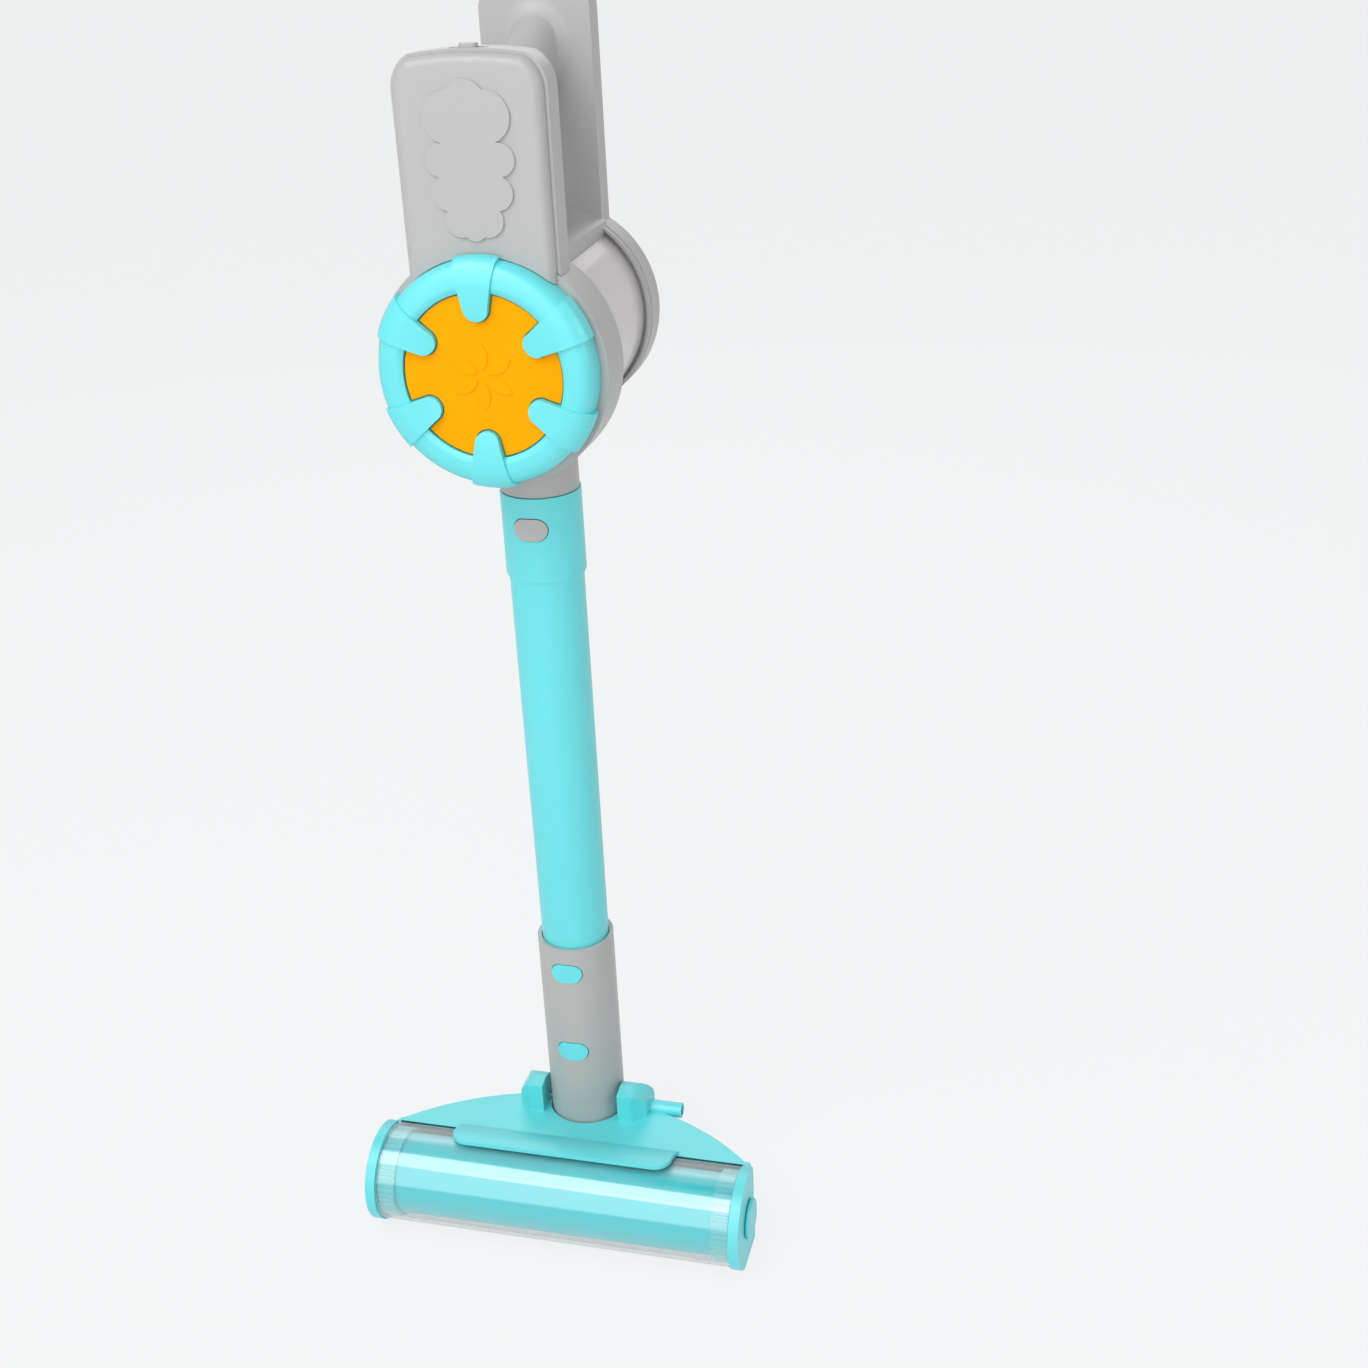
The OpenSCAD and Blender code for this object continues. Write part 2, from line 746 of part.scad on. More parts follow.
module drum_housing() {
    cradle_r = drum_r - cradle_in;
    color(grey) on_wand() difference() {
        union() {
            y_rod(drum_r, -drum_ahead, drum_back, drum_z);
            intersection() {
                along_cup() cylinder(r = cradle_r, h = drum_ahead + rear_front);
                block(
                    [-cradle_w / 2, drum_back - over, drum_z - drum_r],
                    [cradle_w / 2, rear_front - lip_depth - run_gap, drum_z]
                );
            }
            translate([0, 0, socket_top + run_gap]) cylinder(r = collar_r, h = drum_z - cup_r - socket_top);
            translate([0, 0, stub_bottom]) cylinder(r = stub_r, h = stub_depth + over);
        }
        y_rod(drum_r - wall, -drum_ahead + wall, cup_seat, drum_z);
        intersection() {
            cup_body(-0.5);
            block([-60, cup_seat - seam, 0], [60, 60, drum_z + 60]);
        }
        translate([0, 0, stub_bottom - over]) cylinder(r = stub_bore, h = drum_z - cup_r - stub_bottom + 4);
        window(release_z);
        for (p = ring_posts) {
            y_rod(screw_r + fit_gap, -drum_ahead - over, over - drum_ahead + wall, drum_z + p[1], p[0]);
        }
    }
}

module dust_cup() {
    color(clear, 0.4) on_wand() difference() {
        intersection() {
            cup_body(0);
            block([-60, cup_seat + seam, drum_z - 60], [60, rear_front - run_gap, drum_z + 60]);
        }
        intersection() {
            cup_body(cup_wall);
            block([-60, cup_seat - over, drum_z - 60], [60, rear_front - run_gap - cup_wall, drum_z + 60]);
        }
    }
}

// Frame of the round front: Z runs forwards from the wand axis
module on_front() {
    translate([0, 0, drum_z]) rotate([90, 0, 0]) children();
}

// Plan of one finger, pointing along X
module finger_plan(grow) {
    tip = finger_tip + finger_tip_w;
    translate([tip, 0]) circle(r = finger_tip_w + grow);
    polygon([
        [tip, -finger_tip_w - grow],
        [finger_r, -finger_rim_w - grow],
        [finger_r, finger_rim_w + grow],
        [tip, finger_tip_w + grow]
    ]);
}

module front_ring() {
    shoulder = 3;
    color(turquoise) on_wand() on_front() difference() {
        union() {
            rotate_extrude() polygon([
                [0, ring_back - wall],
                [ring_r - wall, ring_back - wall],
                [ring_r - wall, drum_ahead + run_gap],
                [ring_r, drum_ahead + run_gap],
                [ring_r, ring_crest - 2 * shoulder],
                [ring_r - 0.9, ring_crest - shoulder],
                [ring_r - shoulder, ring_crest - 1.2],
                [ring_r - 2 * shoulder, ring_crest - 0.2],
                [ring_r - 3 * shoulder, ring_crest],
                [ring_inner + 1.5, ring_crest - 0.3],
                [ring_inner, ring_crest - 1.2],
                [ring_inner, ring_back],
                [0, ring_back]
            ]);
            for (i = [0 : 5]) rotate(90 + 60 * i) finger(i);
            for (p = ring_posts) {
                translate([p[0], p[1], drum_ahead + run_gap])
                    cylinder(r = post_r - 0.4, h = ring_back - wall - drum_ahead);
            }
        }
        for (p = ring_posts) translate([p[0], p[1], 0]) cylinder(r = screw_r + pin_gap, h = ring_back);
    }
}

// One finger over the round of the ring; the top one stops in front of the slab's face
module finger(i) {
    low = i == 0 ? slab_ahead + cloud_h + run_gap : drum_ahead + 2.5;
    intersection() {
        translate([0, 0, low]) linear_extrude(finger_top) finger_plan(0);
        rotate_extrude() polygon([
            [finger_tip - over, ring_back - seam],
            [finger_tip - over, finger_top - 1.6],
            [finger_tip + finger_tip_w, finger_top - 0.5],
            [ring_inner + 2, finger_top],
            [finger_r - 8, finger_top - 0.3],
            [finger_r - 4.2, finger_top - 1.6],
            [finger_r - 1.7, finger_top - 3.6],
            [finger_r, finger_top - 6.5],
            [finger_r, low],
            [ring_r - wall, low],
            [ring_r - wall, ring_back - seam]
        ]);
    }
}

module front_disc() {
    color(orange) on_wand() on_front() {
        translate([0, 0, disc_back]) linear_extrude(disc_t) difference() {
            circle(r = disc_r);
            for (i = [0 : 5]) rotate(90 + 60 * i) finger_plan(0.5);
        }
        translate([0, 0, disc_ahead]) linear_extrude(0.5) rosette();
    }
}

// Rosette of lens-shaped petals
module rosette() {
    half_long = 5.6;
    half_wide = 2.6;
    lens_r = (half_long * half_long + half_wide * half_wide) / (2 * half_wide);
    for (i = [0 : petals - 1]) rotate(90 + i * 360 / petals) translate([2.6 + half_long, 0]) intersection() {
        translate([0, lens_r - half_wide]) circle(r = lens_r);
        translate([0, half_wide - lens_r]) circle(r = lens_r);
    }
}

module ring_screws() {
    color(steel) on_wand() for (p = ring_posts) {
        translate([p[0], -drum_ahead + wall + seam, drum_z + p[1]]) rotate([90, 0, 0])
            screw(ring_back - drum_ahead - 0.5);
    }
}

// Upright outline with round top corners and a crowned top, from height z0 to z1, drawn in by inset
module slab(w, z0, z1, inset) {
    r = slab_corner - inset;
    half = w / 2 - inset;
    crown_r = (w * w / 4 + slab_crown * slab_crown) / (2 * slab_crown);
    intersection() {
        union() {
            translate([-half, z0]) square([2 * half, z1 - slab_corner - z0]);
            translate([-(half - r), z0]) square([2 * (half - r), z1 - inset - z0]);
            for (s = [-1, 1]) translate([s * (half - r), z1 - slab_corner]) circle(r = r);
        }
        translate([0, z1 - crown_r]) circle(r = crown_r - inset, $fn = 180);
    }
}

// Slab with a rounded face: the outline at y0, drawn in round by round up to the face at y1
module rounded_slab(y0, y1, front) {
    way = y1 > y0 ? 1 : -1;
    hull() {
        y_prism(min(y0, y1 - way * slab_round), max(y0, y1 - way * slab_round)) slab_side(front, 0);
        for (t = [30, 60, 90]) {
            y = y1 - way * slab_round * (1 - sin(t));
            y_prism(min(y, y - way * seam / 2), max(y, y - way * seam / 2))
                slab_side(front, slab_round * (1 - cos(t)));
        }
    }
}

module slab_side(front, inset) {
    if (front) front_slab(inset + cover_step, $fn = 48);
    else rear_slab(inset, $fn = 48);
}

module front_slab(inset) {
    slab(slab_w, slab_low, slab_top, inset);
}

module rear_slab(inset) {
    slab(rear_w, plate_z, rear_top, inset);
}

module rear_outline(inset) {
    rear_slab(inset);
    translate([0, plate_z]) circle(r = plate_r - inset);
}

// Straight bar between the slabs, drawn in by inset
module hand_bar(inset, y0, y1) {
    intersection() {
        translate([0, slab_rear, bar_z]) rotate([bar_angle, 0, 0]) translate([0, -20, 0])
            rotate([-90, 0, 0]) linear_extrude(rear_front - slab_rear + 60)
            upright_oval(bar_w - 2 * inset, bar_h - 2 * inset);
        block([-bar_w, y0, 0], [bar_w, y1, rear_top]);
    }
}

module handle_frame() {
    color(grey) on_wand() difference() {
        union() {
            difference() {
                y_prism(cover_rear, slab_rear) front_slab(0);
                difference() {
                    y_prism(cover_rear - over, slab_rear - wall) front_slab(wall);
                    y_rod(drum_r + run_gap + wall, -60, 0, drum_z);
                }
            }
            difference() {
                y_prism(rear_front, rear_split) rear_outline(0);
                y_prism(rear_front + wall, rear_split + over) rear_outline(wall);
            }
            difference() {
                y_rod(lip_r, rear_front - lip_depth, rear_front + over, plate_z);
                y_rod(lip_r - lip_t, rear_front - lip_depth - over, rear_front + 2 * over, plate_z);
            }
            difference() {
                intersection() {
                    y_rod(bridge_r, slab_rear - over, rear_front + over, drum_z);
                    block(
                        [-bridge_w / 2, slab_rear - over, drum_z + 20],
                        [bridge_w / 2, rear_front + over, drum_z + 70]
                    );
                }
                intersection() {
                    cup_body(-0.5);
                    block([-60, -60, drum_z], [60, rear_front, drum_z + 60]);
                }
            }
            hand_bar(0, slab_rear - over, rear_front + over);
            for (p = front_posts) y_rod(post_r, cover_rear, slab_rear - over, p[1], p[0]);
            for (p = rear_posts) y_rod(post_r, rear_front + over, rear_split, p[1], p[0]);
            y_rod(post_r, rear_front + over, rear_split, door_screw_z);
            for (z = [cell_low - contact_t - fit_gap - rib_t, cell_low + cell_len + contact_t + fit_gap]) {
                block([-1.6 * cell_d, rear_front + over, z], [1.6 * cell_d, rear_split, z + rib_t]);
            }
        }
        y_rod(drum_r + run_gap, -60, drum_back + run_gap, drum_z);
        hand_bar(wall, slab_rear - wall - over, rear_front + wall + over);
        translate([0, switch_y, slab_top - 2 * wall]) linear_extrude(3 * wall)
            oval(slot_len, switch_w + 2 * run_gap);
        translate([0, switch_y, slab_top - 2 * wall]) linear_extrude(wall + seam)
            oval(slot_len + flange_len - switch_len + 2, flange_w + 1);
        for (a = [0 : 60 : 300]) {
            y_rod(1.3, slab_rear - 2 * wall, slab_rear + over, speaker_z() + 5 * sin(a), 5 * cos(a));
        }
        for (p = front_posts) {
            y_rod(screw_r + fit_gap, cover_rear - over, slab_rear + over, p[1], p[0]);
            y_rod(screw_head_r + fit_gap, slab_rear - screw_head_h - fit_gap, slab_rear + over, p[1], p[0]);
        }
        for (p = rear_posts) y_rod(screw_r + pin_gap, rear_front + wall + 0.5, rear_split + over, p[1], p[0]);
        y_rod(screw_r + pin_gap, rear_front + wall + 0.5, rear_split + over, door_screw_z);
    }
}

function speaker_z() = drum_z + drum_r + run_gap + wall + speaker_r + 4;

// Raised panel with scalloped edges
module cloud() {
    lobes = [[0, 104.8, 8.6], [7.8, 99.4, 10], [12, 83.5, 6.5], [10, 71, 6.8], [5.5, 60.5, 6.5], [0, 57.5, 5]];
    translate([-10, drum_z + 60]) square([20, 44]);
    for (l = lobes) for (s = [-1, 1]) translate([s * l[0], drum_z + l[1]]) circle(r = l[2]);
}

module front_cover() {
    color(grey) on_wand() difference() {
        union() {
            rounded_slab(cover_rear - seam, -slab_ahead, true);
            y_prism(-slab_ahead - cloud_h, over - slab_ahead) cloud();
        }
        difference() {
            y_prism(wall - slab_ahead, cover_rear) front_slab(cover_step + wall + 0.6);
            y_rod(drum_r + run_gap + wall, -60, 0, drum_z);
            for (p = front_posts) y_rod(post_r, -60, 0, p[1], p[0]);
        }
        y_rod(drum_r + run_gap, -drum_ahead - run_gap, 0, drum_z);
        y_rod(ring_r + run_gap, -finger_top, 0, drum_z);
        for (p = front_posts) y_rod(screw_r + pin_gap, 1.4 - slab_ahead, 0, p[1], p[0]);
    }
}

module front_cover_screws() {
    color(steel) on_wand() for (p = front_posts) {
        translate([p[0], slab_rear - screw_head_h - fit_gap + seam / 2, p[1]]) rotate([90, 0, 0])
            screw(slab_depth - screw_head_h - 2.4);
    }
}

module rear_cover() {
    edge = 3;
    color(grey) on_wand() difference() {
        union() {
            rounded_slab(rear_split + seam, rear_back, false);
            y_rod(plate_r, rear_split + seam, rear_back - edge, plate_z);
            translate([0, rear_back - edge, plate_z]) rotate([-90, 0, 0])
                cylinder(r1 = plate_r, r2 = plate_r - edge, h = edge);
        }
        difference() {
            y_prism(rear_split, rear_back - wall) rear_outline(wall + 0.6);
            for (p = rear_posts) y_rod(post_r, 0, rear_back, p[1], p[0]);
            y_prism(rear_back - 2 * wall, rear_back) translate([0, door_low - door_ledge])
                door_outline(-door_ledge);
        }
        y_prism(rear_back - wall, rear_back + over) translate([0, door_low]) door_outline(0);
        y_prism(0, rear_back) translate([0, door_low + door_ledge]) door_outline(door_ledge);
        for (p = rear_posts) {
            y_rod(screw_r + fit_gap, 0, rear_back + over, p[1], p[0]);
            y_rod(screw_head_r + fit_gap, rear_back - screw_head_h - 0.6, rear_back + over, p[1], p[0]);
        }
    }
}

// Outline of the battery door, drawn in by inset, standing on height 0
module door_outline(inset) {
    translate([inset - door_w / 2, 0]) square([door_w - 2 * inset, door_h - 2 * inset]);
}

module rear_cover_screws() {
    color(steel) on_wand() for (p = rear_posts) {
        translate([p[0], rear_back - screw_head_h - 0.6 + seam / 2, p[1]]) rotate([-90, 0, 0]) mirror([0, 0, 1])
            screw(rear_cover_depth + 3);
    }
}

module battery_door() {
    color(grey) on_wand() difference() {
        union() {
            y_prism(rear_back - wall + seam, rear_back) translate([0, door_low + fit_gap])
                door_outline(fit_gap);
            y_rod(post_r, rear_split + seam, rear_back - over, door_screw_z);
        }
        y_rod(screw_r + fit_gap, 0, rear_back + over, door_screw_z);
        y_rod(screw_head_r + fit_gap, rear_back - screw_head_h, rear_back + over, door_screw_z);
    }
}

module battery_screw() {
    color(steel) on_wand() translate([0, rear_back - screw_head_h + seam / 2, door_screw_z])
        rotate([90, 0, 0]) screw(rear_cover_depth + 1);
}

module switch_knob() {
    color(grey) on_wand() translate([0, switch_y, slab_top]) {
        translate([0, 0, -wall - run_gap]) linear_extrude(wall + run_gap + switch_up)
            oval(switch_len, switch_w);
        translate([0, 0, -wall - run_gap - flange_t]) linear_extrude(flange_t) oval(flange_len, flange_w);
    }
}

module switch_body() {
    top = slab_top - wall - 2 * run_gap - flange_t;
    low = [-11, switch_y - switch_w / 2 - 1.5, top - 6];
    color(dark) on_wand() block(low, [11, slab_rear - wall - run_gap - board_t - seam, top]);
}

module circuit_board() {
    top = slab_top - wall - 2 * run_gap - flange_t;
    rear = slab_rear - wall - run_gap;
    color(board_green) on_wand() block([-16, rear - board_t, top - 20], [16, rear, top]);
}

module speaker() {
    rear = slab_rear - wall - run_gap;
    color(dark) on_wand() {
        y_rod(speaker_r, rear - 2, rear, speaker_z());
        y_rod(speaker_r * 0.6, rear - 5, rear - 1, speaker_z());
    }
}

module batteries() {
    color(dark) on_wand() for (x = cell_xs) translate([x, cell_y, cell_low]) {
        cylinder(r = cell_d / 2, h = cell_len - 0.8);
        cylinder(r = 1.9, h = cell_len);
    }
}

module battery_contacts() {
    ends = [cell_low - contact_t - seam, cell_low + cell_len + seam];
    color(brass) on_wand() for (x = cell_xs) for (z = ends) {
        block([x - 4, cell_y - 4, z], [x + 4, cell_y + 3, z + contact_t]);
    }
}

head_top();
sole_plate();
head_screws();
pivot_pin();
roller_tube();
roller_drum();
left_plug();
right_plug();
left_knob();
right_knob();
pivot_spigot();
neck_sleeve();
lower_snap();
lower_snap_spring();
wand_tube();
upper_snap();
upper_snap_spring();
release_button();
release_spring();
drum_housing();
dust_cup();
front_ring();
front_disc();
ring_screws();
handle_frame();
front_cover();
front_cover_screws();
rear_cover();
rear_cover_screws();
battery_door();
battery_screw();
switch_knob();
switch_body();
circuit_board();
speaker();
batteries();
battery_contacts();
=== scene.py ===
import json
import math

import bmesh
import bpy
from mathutils import Matrix, Vector


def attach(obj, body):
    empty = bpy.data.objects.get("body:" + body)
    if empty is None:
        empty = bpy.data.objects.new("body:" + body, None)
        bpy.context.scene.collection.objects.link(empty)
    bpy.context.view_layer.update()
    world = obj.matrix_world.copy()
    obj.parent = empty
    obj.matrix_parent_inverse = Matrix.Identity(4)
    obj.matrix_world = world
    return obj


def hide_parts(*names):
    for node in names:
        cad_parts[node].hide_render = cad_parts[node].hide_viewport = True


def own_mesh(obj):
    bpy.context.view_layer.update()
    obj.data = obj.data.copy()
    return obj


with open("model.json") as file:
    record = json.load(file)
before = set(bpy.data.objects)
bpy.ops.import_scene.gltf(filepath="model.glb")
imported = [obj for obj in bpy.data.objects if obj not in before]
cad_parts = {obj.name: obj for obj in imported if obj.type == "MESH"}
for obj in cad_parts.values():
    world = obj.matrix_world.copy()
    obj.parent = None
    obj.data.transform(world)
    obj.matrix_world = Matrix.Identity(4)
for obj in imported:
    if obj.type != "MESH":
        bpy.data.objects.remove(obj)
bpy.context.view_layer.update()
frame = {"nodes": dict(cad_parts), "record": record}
print("frame loaded", len(frame["nodes"]), "nodes")

mm = 0.001
scene = bpy.context.scene
scene.view_settings.view_transform = "Standard"

# camera at the photograph's angle
cameraSet = {
    "place": (0.2568, -0.70735, 0.6268),
    "yaw": 15.16,      # degrees to the right of straight in front
    "pitch": 24.54,    # degrees downwards
    "roll": -2.66,
    "lens": 46.9,      # millimetres, on a sensor this wide
    "sensor": 36,
    "nearest": 0.01,
}


def aimCamera(spec):
    yaw, pitch, roll = (math.radians(spec[k]) for k in ("yaw", "pitch", "roll"))
    ahead = Vector((-math.sin(yaw) * math.cos(pitch), math.cos(yaw) * math.cos(pitch), -math.sin(pitch)))
    side = Vector((math.cos(yaw), math.sin(yaw), 0))
    up = side.cross(ahead)
    turnedSide = side * math.cos(roll) + up * math.sin(roll)
    turnedUp = up * math.cos(roll) - side * math.sin(roll)
    data = bpy.data.cameras.new("photoCamera")
    data.lens = spec["lens"]
    data.sensor_width = spec["sensor"]
    data.sensor_fit = "HORIZONTAL"
    data.clip_start = spec["nearest"]
    camera = bpy.data.objects.new("photoCamera", data)
    scene.collection.objects.link(camera)
    turn = Matrix((turnedSide, turnedUp, -ahead)).transposed().to_4x4()
    camera.matrix_world = Matrix.Translation(spec["place"]) @ turn
    scene.camera = camera


aimCamera(cameraSet)
print("camera set")


def srgb(r, g, b):
    shares = [c / 255 for c in (r, g, b)]
    return tuple(s / 12.92 if s <= 0.04045 else ((s + 0.055) / 1.055) ** 2.4 for s in shares) + (1,)


def newMaterial(name):
    made = bpy.data.materials.new(name)
    made.use_nodes = True
    return made, made.node_tree.nodes, made.node_tree.links


def objectNoise(nodes, links, scale, detail=2):
    place = nodes.new("ShaderNodeTexCoord")
    noise = nodes.new("ShaderNodeTexNoise")
    noise.inputs["Scale"].default_value = scale
    noise.inputs["Detail"].default_value = detail
    links.new(place.outputs["Object"], noise.inputs["Vector"])
    return noise.outputs["Fac"]


def stretched(nodes, links, value, low, high):
    span = nodes.new("ShaderNodeMapRange")
    span.inputs["To Min"].default_value = low
    span.inputs["To Max"].default_value = high
    links.new(value, span.inputs["Value"])
    return span.outputs["Result"]


def mixedShader(nodes, links, share, under, over):
    mixed = nodes.new("ShaderNodeMixShader")
    links.new(share, mixed.inputs[0])
    links.new(under.outputs[0], mixed.inputs[1])
    links.new(over.outputs[0], mixed.inputs[2])
    return mixed


# moulded plastics: base colour with a faint cloud, fine orange-peel bump and a little change of gloss
plastics = {
    "turquoisePlastic": {
        "light": (100, 222, 227), "deep": (90, 216, 222), "rough": 0.38, "peel": 0.03, "shine": 0.9,
    },
    "rollerPlastic": {
        "light": (34, 222, 230), "deep": (26, 214, 222), "rough": 0.4, "peel": 0.02, "shine": 0.3,
    },
    "greyPlastic": {
        "light": (180, 180, 179), "deep": (174, 174, 173), "rough": 0.38, "peel": 0.04, "shine": 0.5,
    },
    "orangePlastic": {
        "light": (255, 170, 0), "deep": (252, 162, 0), "rough": 0.5, "peel": 0.03, "shine": 0.05,
    },
    "darkPlastic": {
        "light": (62, 65, 68), "deep": (50, 53, 56), "rough": 0.5, "peel": 0.05, "shine": 0.3,
    },
    "boardGreen": {
        "light": (50, 128, 82), "deep": (40, 112, 70), "rough": 0.45, "peel": 0.02, "shine": 0.4,
    },
    "cellJacket": {
        "light": (66, 70, 76), "deep": (54, 58, 64), "rough": 0.35, "peel": 0.01, "shine": 0.4,
    },
}
# shared by them: scales of cloud and peel, the peel's depth in metres, and how far the roughness strays
mould = {"cloud": 14, "peel": 900, "peelDetail": 3, "depth": 0.0004, "smoother": 0.04, "rougher": 0.05}


def mouldedPlastic(name, spec):
    made, nodes, links = newMaterial(name)
    shader = nodes["Principled BSDF"]
    cloud = objectNoise(nodes, links, mould["cloud"])
    tint = nodes.new("ShaderNodeMix")
    tint.data_type = "RGBA"
    tint.inputs[6].default_value = srgb(*spec["deep"])    # the two colours of the mix
    tint.inputs[7].default_value = srgb(*spec["light"])
    links.new(cloud, tint.inputs[0])
    links.new(tint.outputs[2], shader.inputs["Base Color"])
    bump = nodes.new("ShaderNodeBump")
    bump.inputs["Strength"].default_value = spec["peel"]
    bump.inputs["Distance"].default_value = mould["depth"]
    links.new(objectNoise(nodes, links, mould["peel"], mould["peelDetail"]), bump.inputs["Height"])
    links.new(bump.outputs["Normal"], shader.inputs["Normal"])
    low, high = spec["rough"] - mould["smoother"], spec["rough"] + mould["rougher"]
    links.new(stretched(nodes, links, cloud, low, high), shader.inputs["Roughness"])
    shader.inputs["Specular IOR Level"].default_value = spec["shine"]
    return made


# clear plastics: milk and gloss are shares straight on and along the edges
clears = {
    "rollerClear": {"tint": (0.92, 0.92, 0.92, 1), "milk": (0, 0.5), "gloss": (0.09, 0.5)},
    "cupClear": {"tint": (1, 0.965, 0.955, 1), "milk": (0.38, 0.7), "gloss": (0.05, 0.4)},
}
# shared by them: colour seen through the wall, how milk and gloss rise to the edge, flow marks in the gloss
clearWall = {
    "through": (0.985, 0.98, 0.98, 1),
    "blend": 0.5, "milkRise": 2, "glossRise": 5,
    "flow": 30, "rough": (0.07, 0.14),
}


def edgeShare(nodes, links, rise, span):
    rim = nodes.new("ShaderNodeLayerWeight")    # low where the wall faces the eye, high along its edges
    rim.inputs["Blend"].default_value = clearWall["blend"]
    curve = nodes.new("ShaderNodeMath")
    curve.operation = "POWER"
    curve.inputs[1].default_value = rise
    links.new(rim.outputs["Facing"], curve.inputs[0])
    return stretched(nodes, links, curve.outputs[0], *span)


def clearPlastic(name, spec):
    made, nodes, links = newMaterial(name)
    shader = nodes["Principled BSDF"]
    shader.inputs["Base Color"].default_value = spec["tint"]
    seeThrough = nodes.new("ShaderNodeBsdfTransparent")
    seeThrough.inputs["Color"].default_value = clearWall["through"]
    milk = edgeShare(nodes, links, clearWall["milkRise"], spec["milk"])
    milky = mixedShader(nodes, links, milk, seeThrough, shader)
    coat = nodes.new("ShaderNodeBsdfGlossy")
    flow = objectNoise(nodes, links, clearWall["flow"])
    links.new(stretched(nodes, links, flow, *clearWall["rough"]), coat.inputs["Roughness"])
    gloss = edgeShare(nodes, links, clearWall["glossRise"], spec["gloss"])
    coated = mixedShader(nodes, links, gloss, milky, coat)
    links.new(coated.outputs[0], nodes["Material Output"].inputs["Surface"])
    return made


metals = {
    "steelWire": {"colour": (186, 190, 194), "rough": 0.3},
    "brassStrip": {"colour": (200, 162, 74), "rough": 0.35},
}
brush = {"grain": 600, "stray": 0.08}    # scale of the grain and how far the roughness strays


def brushedMetal(name, spec):
    made, nodes, links = newMaterial(name)
    shader = nodes["Principled BSDF"]
    shader.inputs["Base Color"].default_value = srgb(*spec["colour"])
    shader.inputs["Metallic"].default_value = 1
    grain = objectNoise(nodes, links, brush["grain"])
    low, high = spec["rough"] - brush["stray"], spec["rough"] + brush["stray"]
    links.new(stretched(nodes, links, grain, low, high), shader.inputs["Roughness"])
    return made


finishes = {}
for maker, kinds in ((mouldedPlastic, plastics), (clearPlastic, clears), (brushedMetal, metals)):
    for name, spec in kinds.items():
        finishes[name] = maker(name, spec)
slotFinish = {
    "turquoise": "turquoisePlastic", "grey": "greyPlastic", "orange": "orangePlastic",
    "clear": "rollerClear", "steel": "steelWire", "dark": "darkPlastic",
    "board": "boardGreen", "brass": "brassStrip", "cells": "cellJacket",
}
# pieces that differ from the rest of their slot
nodeFinish = {"roller_drum": "rollerPlastic", "dust_cup": "cupClear"}
nodeSlot = {part["node"]: part["material_slot"] for part in frame["record"]["subparts"]}
for name, part in frame["nodes"].items():
    part.data.materials.clear()
    part.data.materials.append(finishes[nodeFinish.get(name, slotFinish[nodeSlot[name]])])
print("finishes on", len(nodeSlot), "nodes")

# shading of new pieces: edges over crease degrees stay sharp, broad faces stay flat beside their rounds
shading = {"crease": 34, "broad": 95}


def addPiece(shape, name, body, slotName, *stands):
    data = bpy.data.meshes.new(name)
    shape.to_mesh(data)
    shape.free()
    data.shade_smooth()
    data.set_sharp_from_angle(angle=math.radians(shading["crease"]))
    piece = bpy.data.objects.new(name, data)
    scene.collection.objects.link(piece)
    even = piece.modifiers.new("evenNormals", "WEIGHTED_NORMAL")
    even.keep_sharp = True
    even.weight = shading["broad"]
    data.materials.append(finishes[slotFinish[slotName]])
    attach(piece, body)
    if stands:
        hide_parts(*stands)
    return piece


# pieces whose moulded edges are softened: edge is the round in millimetres
softEdges = {
    "head_top": {"edge": 0.9, "steps": 3},
    "sole_plate": {"edge": 0.8, "steps": 2},
    "left_knob": {"edge": 0.8, "steps": 3},
    "right_knob": {"edge": 0.8, "steps": 3},
    "neck_sleeve": {"edge": 0.8, "steps": 3},
    "lower_snap": {"edge": 0.5, "steps": 2},
    "upper_snap": {"edge": 0.5, "steps": 2},
    "release_button": {"edge": 0.5, "steps": 2},
    "wand_tube": {"edge": 0.5, "steps": 2},
    "drum_housing": {"edge": 0.8, "steps": 3},
    "front_ring": {"edge": 0.9, "steps": 3},
    "front_disc": {"edge": 0.2, "steps": 2},
    "handle_frame": {"edge": 1.0, "steps": 3},
    "front_cover": {"edge": 0.28, "steps": 2},
    "rear_cover": {"edge": 0.8, "steps": 3},
    "battery_door": {"edge": 0.4, "steps": 2},
    "switch_knob": {"edge": 0.5, "steps": 3},
    "roller_tube": {"edge": 0.3, "steps": 2},
}
# points this near are one (metres), faces this level are one and edges this sharp are rounded (degrees)
softening = {"near": 1e-6, "level": 0.6, "sharp": 38}
bodyOf = {node: body for body, nodes in frame["record"]["behaviour"]["bodies"].items() for node in nodes}


def softened(node, spec):
    shape = bmesh.new()
    shape.from_mesh(frame["nodes"][node].data)
    bmesh.ops.remove_doubles(shape, verts=shape.verts, dist=softening["near"])
    level, least = math.radians(softening["level"]), math.radians(softening["sharp"])
    bmesh.ops.dissolve_limit(shape, angle_limit=level, verts=shape.verts, edges=shape.edges)
    sharp = [e for e in shape.edges if len(e.link_faces) == 2 and e.calc_face_angle(0) > least]
    bmesh.ops.bevel(shape, geom=sharp, offset=spec["edge"] * mm, affect="EDGES", segments=spec["steps"],
                    profile=0.5, material=-1, clamp_overlap=True)
    addPiece(shape, node + "Soft", bodyOf[node], nodeSlot[node], node)


for node, spec in softEdges.items():
    softened(node, spec)
print("softened", len(softEdges), "pieces")

# springs behind the snap buttons: each is a copy of its node, listed with its button's joint and a seat at
# this depth (millimetres)
springs = {
    "lower_snap_spring": {"joint": "lower_snap_press", "seat": 24.95},
    "upper_snap_spring": {"joint": "upper_snap_press", "seat": 24.95},
    "release_spring": {"joint": "release_press", "seat": 24.95},
}


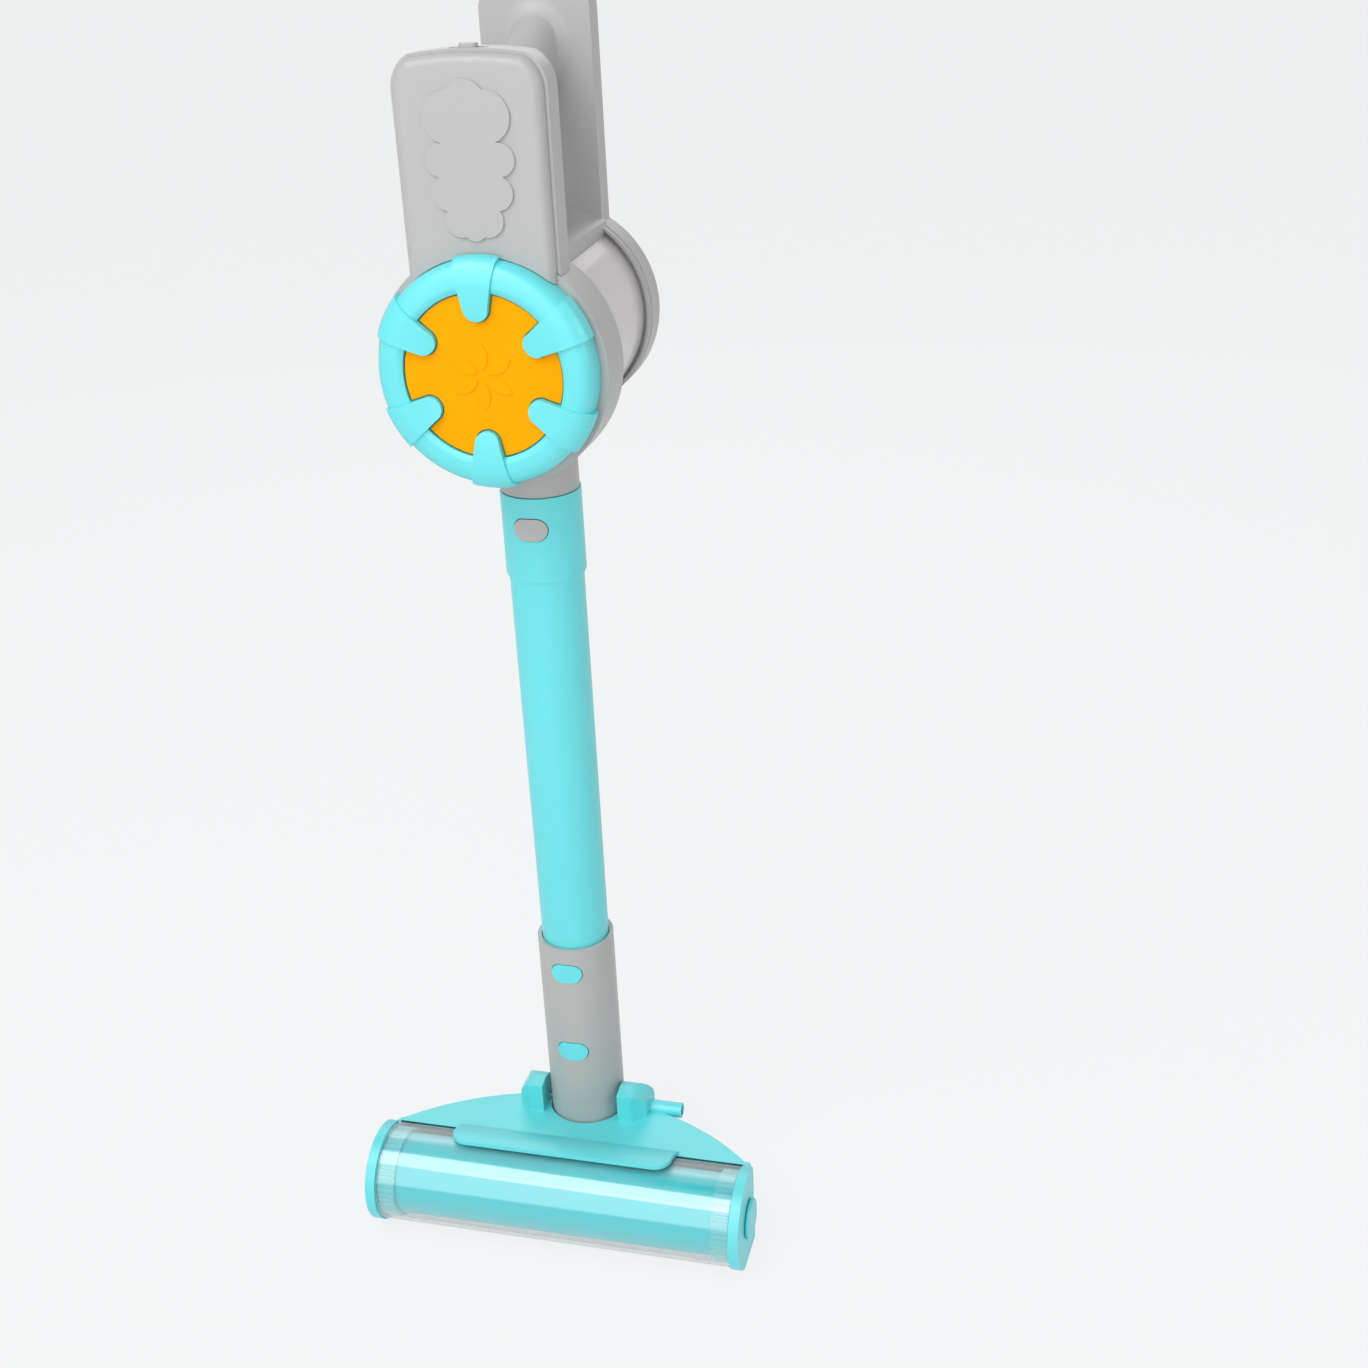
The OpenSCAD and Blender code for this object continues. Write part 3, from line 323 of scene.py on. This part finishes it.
def coil(node):
    shape = bmesh.new()
    shape.from_mesh(frame["nodes"][node].data)
    piece = addPiece(shape, node + "Coil", bodyOf[node], nodeSlot[node], node)
    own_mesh(piece)


for node, spec in springs.items():
    coil(node)
print("springs", len(springs))

# rounds where the hand bar runs into the slabs, in millimetres
# wall is the slab's face, and way points from it along the bar
barRounds = {
    "barRearRound": {"middle": 562.8, "wall": 49.45, "round": 5, "way": -1},
    "barFrontRound": {"middle": 529.8, "wall": -22.55, "round": 2.4, "way": 1},
}
bar = {"halfWidth": 10, "halfHeight": 13.2, "climb": 33 / 72, "sink": 0.4}
barSteps = {"arc": 9, "around": 72, "near": 1e-5}


def barRound(name, spec):
    shape = bmesh.new()
    size, way, inner, sink = spec["round"], spec["way"], bar["halfWidth"], bar["sink"]
    turns = [math.radians(90 * i / barSteps["arc"]) for i in range(barSteps["arc"] + 1)]
    profile = [(inner + size * (1 - math.cos(t)), way * size * (1 - math.sin(t))) for t in turns]
    profile += [(inner + size, -way * sink), (inner - sink, -way * sink), (inner - sink, way * size)]
    corners = [shape.verts.new((r, y, 0)) for r, y in profile]
    edges = [shape.edges.new((a, b)) for a, b in zip(corners, corners[1:] + corners[:1])]
    bmesh.ops.spin(shape, geom=corners + edges, cent=(0, 0, 0), axis=(0, 1, 0), angle=2 * math.pi,
                   steps=barSteps["around"], use_merge=True)
    bmesh.ops.remove_doubles(shape, verts=shape.verts, dist=barSteps["near"])
    lean = Matrix.Identity(4)
    lean[2][1] = bar["climb"]
    tall = Matrix.Diagonal((1, 1, bar["halfHeight"] / inner, 1))
    place = Matrix.Translation((0, spec["wall"], spec["middle"]))
    bmesh.ops.transform(shape, matrix=Matrix.Scale(mm, 4) @ place @ lean @ tall, verts=shape.verts)
    bmesh.ops.recalc_face_normals(shape, faces=shape.faces)
    addPiece(shape, name, "wand", "grey")


for name, spec in barRounds.items():
    barRound(name, spec)
print("rounds on the hand bar", len(barRounds))

# plain pale stage: blank is the share of plain glow that is seen in place of the lit floor
stageSet = {
    "floor": (242, 243, 244), "size": 12, "rough": 0.8, "shine": 0.1,
    "world": 0.36, "blank": 0.9, "glow": 1.03,
}


def seenRays(nodes, links):
    rays = nodes.new("ShaderNodeLightPath")
    total = rays.outputs["Is Camera Ray"]
    for kind in ("Is Glossy Ray", "Is Transmission Ray"):
        either = nodes.new("ShaderNodeMath")
        either.operation = "MAXIMUM"
        links.new(total, either.inputs[0])
        links.new(rays.outputs[kind], either.inputs[1])
        total = either.outputs[0]
    return total


def paleFloor(spec):
    made, nodes, links = newMaterial("paleFloor")
    shader = nodes["Principled BSDF"]
    shader.inputs["Base Color"].default_value = srgb(*spec["floor"])
    shader.inputs["Roughness"].default_value = spec["rough"]
    shader.inputs["Specular IOR Level"].default_value = spec["shine"]
    blank = nodes.new("ShaderNodeEmission")    # what the camera sees: pale, with part of the shadow kept
    blank.inputs["Color"].default_value = srgb(*spec["floor"])
    blank.inputs["Strength"].default_value = spec["glow"]
    share = nodes.new("ShaderNodeMath")
    share.operation = "MULTIPLY"
    share.inputs[1].default_value = spec["blank"]
    links.new(seenRays(nodes, links), share.inputs[0])
    mixed = mixedShader(nodes, links, share.outputs[0], shader, blank)
    links.new(mixed.outputs[0], nodes["Material Output"].inputs["Surface"])
    return made


def layFloor(spec):
    floor = bmesh.new()
    bmesh.ops.create_grid(floor, x_segments=1, y_segments=1, size=spec["size"])
    data = bpy.data.meshes.new("floor")
    floor.to_mesh(data)
    floor.free()
    plane = bpy.data.objects.new("floor", data)
    scene.collection.objects.link(plane)
    data.materials.append(paleFloor(spec))


def softWorld(spec):
    world = bpy.data.worlds.new("softWorld")
    world.use_nodes = True
    nodes, links = world.node_tree.nodes, world.node_tree.links
    back = nodes["Background"]
    back.inputs["Color"].default_value = srgb(*spec["floor"])
    level = stretched(nodes, links, seenRays(nodes, links), spec["world"], 1)
    links.new(level, back.inputs["Strength"])
    scene.world = world


# soft boxes: width and height of the panel in metres, power in watts
lamps = {
    "keyLamp": {"place": (-0.2, -1.75, 1.0), "panel": (2.4, 1.8), "power": 19},
    "fillLamp": {"place": (1.5, -0.25, 0.9), "panel": (0.9, 0.9), "power": 4.5},
    "overheadLamp": {"place": (-0.4, -0.8, 1.62), "panel": (1.2, 0.9), "power": 12},
    "backLamp": {"place": (-0.3, 1.4, 1.3), "panel": (1.6, 0.8), "power": 6},
}
lampAim = Vector((0, 0, 0.25))


def softLamp(name, spec):
    data = bpy.data.lights.new(name, "AREA")
    data.shape = "RECTANGLE"
    data.size, data.size_y = spec["panel"]
    data.energy = spec["power"]
    lamp = bpy.data.objects.new(name, data)
    lamp.location = spec["place"]
    lamp.rotation_euler = (lampAim - Vector(spec["place"])).to_track_quat("-Z", "Y").to_euler()
    scene.collection.objects.link(lamp)


layFloor(stageSet)
softWorld(stageSet)
for name, spec in lamps.items():
    softLamp(name, spec)
print("stage set")
